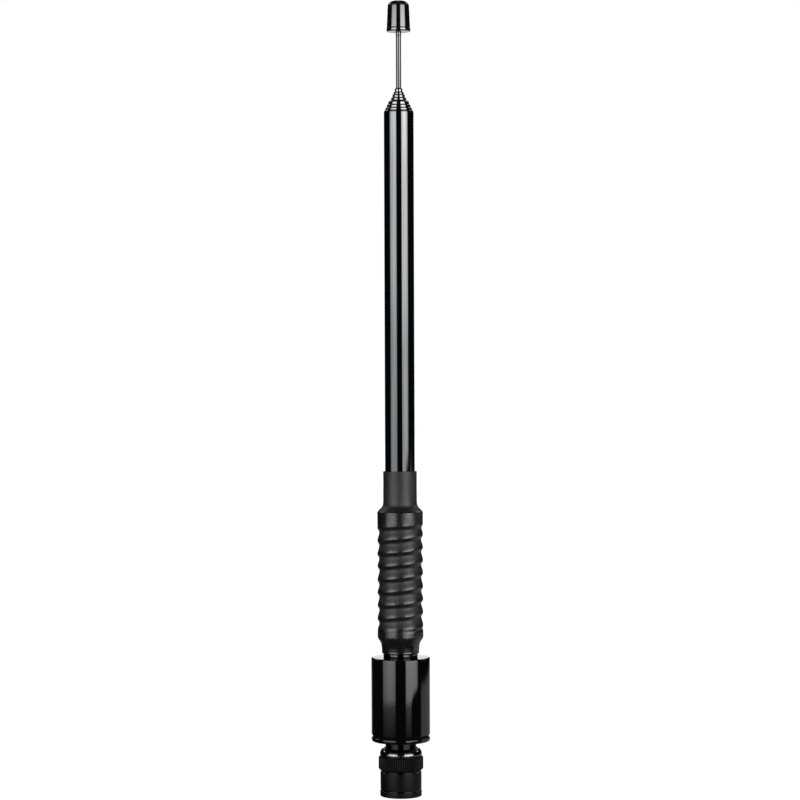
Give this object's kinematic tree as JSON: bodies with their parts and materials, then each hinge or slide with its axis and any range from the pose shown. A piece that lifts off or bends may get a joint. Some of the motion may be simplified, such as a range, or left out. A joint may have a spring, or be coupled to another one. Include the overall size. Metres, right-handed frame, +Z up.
{
  "type": "telescopic antenna",
  "caption": "Telescopic whip antenna for a handheld receiver, with a bayonet plug, a base loading coil, a sleeved flexible spring and nested mast tubes.",
  "frame": {"origin": "centre of the bayonet plug's open face", "axes": "+Z up along the mast, from the plug to the tip"},
  "size_m": [0.019, 0.019, 0.2569],
  "materials": {
    "black_chrome": "gloss black chrome plating",
    "housing_black": "gloss black",
    "plug_black": "satin black plating",
    "cap_black": "gloss black moulded",
    "shrink_rubber": "matt dark grey heat-shrink",
    "spring_steel": "bright",
    "brass": "machined",
    "gold": "gold plated",
    "copper": "enamelled copper wire",
    "ptfe": "white fluoropolymer",
    "former_plastic": "moulded bobbin",
    "silicone": "soft seal"
  },
  "bodies": {
    "coupling": {"coupling_nut": "plug_black", "thrust_washer_upper": "spring_steel", "wave_washer": "spring_steel"},
    "plug_thrust": {"thrust_washer_lower": "spring_steel"},
    "base": {"plug_body": "black_chrome", "plug_outer_contact": "spring_steel", "plug_insulator": "ptfe", "plug_centre_pin": "gold", "plug_gasket": "silicone", "housing_base": "housing_black", "coil_housing": "housing_black", "coil_former": "former_plastic", "loading_coil": "copper", "coil_feed_lead": "copper", "coil_top_lead": "copper", "whip_stud": "black_chrome", "stud_nut": "spring_steel", "stud_lock_washer": "spring_steel", "flex_spring": "spring_steel", "bonding_braid": "copper", "shrink_sleeve": "shrink_rubber"},
    "mast_1": {"spring_ferrule": "brass", "mast_end_plug": "brass", "mast_tube_1": "black_chrome"},
    "mast_2": {"mast_tube_2": "black_chrome", "mast_contact_2": "brass"},
    "mast_3": {"mast_tube_3": "black_chrome", "mast_contact_3": "brass"},
    "mast_4": {"mast_tube_4": "black_chrome", "mast_contact_4": "brass"},
    "mast_5": {"mast_tube_5": "black_chrome", "mast_contact_5": "brass"},
    "mast_6": {"mast_tube_6": "black_chrome", "mast_contact_6": "brass"},
    "mast_7": {"mast_tube_7": "black_chrome", "mast_contact_7": "brass"},
    "mast_8": {"mast_tube_8": "black_chrome", "mast_contact_8": "brass"},
    "mast_9": {"mast_tube_9": "black_chrome", "mast_contact_9": "brass"},
    "tip": {"tip_rod": "black_chrome", "tip_contact": "brass", "tip_cap": "cap_black"}
  },
  "joints": [
    {"name": "plug_float", "type": "slide", "parent": "coupling", "child": "plug_thrust", "axis": [0, 0, 1], "range_m": [0, 0.0008], "stiffness_N_per_m": 20000, "deforming": ["wave_washer"]},
    {"name": "antenna_swivel", "type": "hinge", "parent": "plug_thrust", "child": "base", "pos_m": [0, 0, 0], "axis": [0, 0, 1], "continuous": true},
    {"name": "whip_flex", "type": "hinge", "parent": "base", "child": "mast_1", "pos_m": [0, 0, 0.0706], "axis": [0, 1, 0], "range_deg": [-45, 45], "stiffness_Nm_per_rad": 1.2, "deforming": ["shrink_sleeve", "flex_spring", "bonding_braid"]},
    {"name": "mast_2_slide", "type": "slide", "parent": "mast_1", "child": "mast_2", "axis": [0, 0, 1], "range_m": [0, 0.113]},
    {"name": "mast_3_slide", "type": "slide", "parent": "mast_2", "child": "mast_3", "axis": [0, 0, 1], "range_m": [0, 0.113]},
    {"name": "mast_4_slide", "type": "slide", "parent": "mast_3", "child": "mast_4", "axis": [0, 0, 1], "range_m": [0, 0.113]},
    {"name": "mast_5_slide", "type": "slide", "parent": "mast_4", "child": "mast_5", "axis": [0, 0, 1], "range_m": [0, 0.113]},
    {"name": "mast_6_slide", "type": "slide", "parent": "mast_5", "child": "mast_6", "axis": [0, 0, 1], "range_m": [0, 0.113]},
    {"name": "mast_7_slide", "type": "slide", "parent": "mast_6", "child": "mast_7", "axis": [0, 0, 1], "range_m": [0, 0.113]},
    {"name": "mast_8_slide", "type": "slide", "parent": "mast_7", "child": "mast_8", "axis": [0, 0, 1], "range_m": [0, 0.113]},
    {"name": "mast_9_slide", "type": "slide", "parent": "mast_8", "child": "mast_9", "axis": [0, 0, 1], "range_m": [0, 0.113]},
    {"name": "tip_slide", "type": "slide", "parent": "mast_9", "child": "tip", "axis": [0, 0, 1], "range_m": [-0.0179, 0.104]}
  ]
}
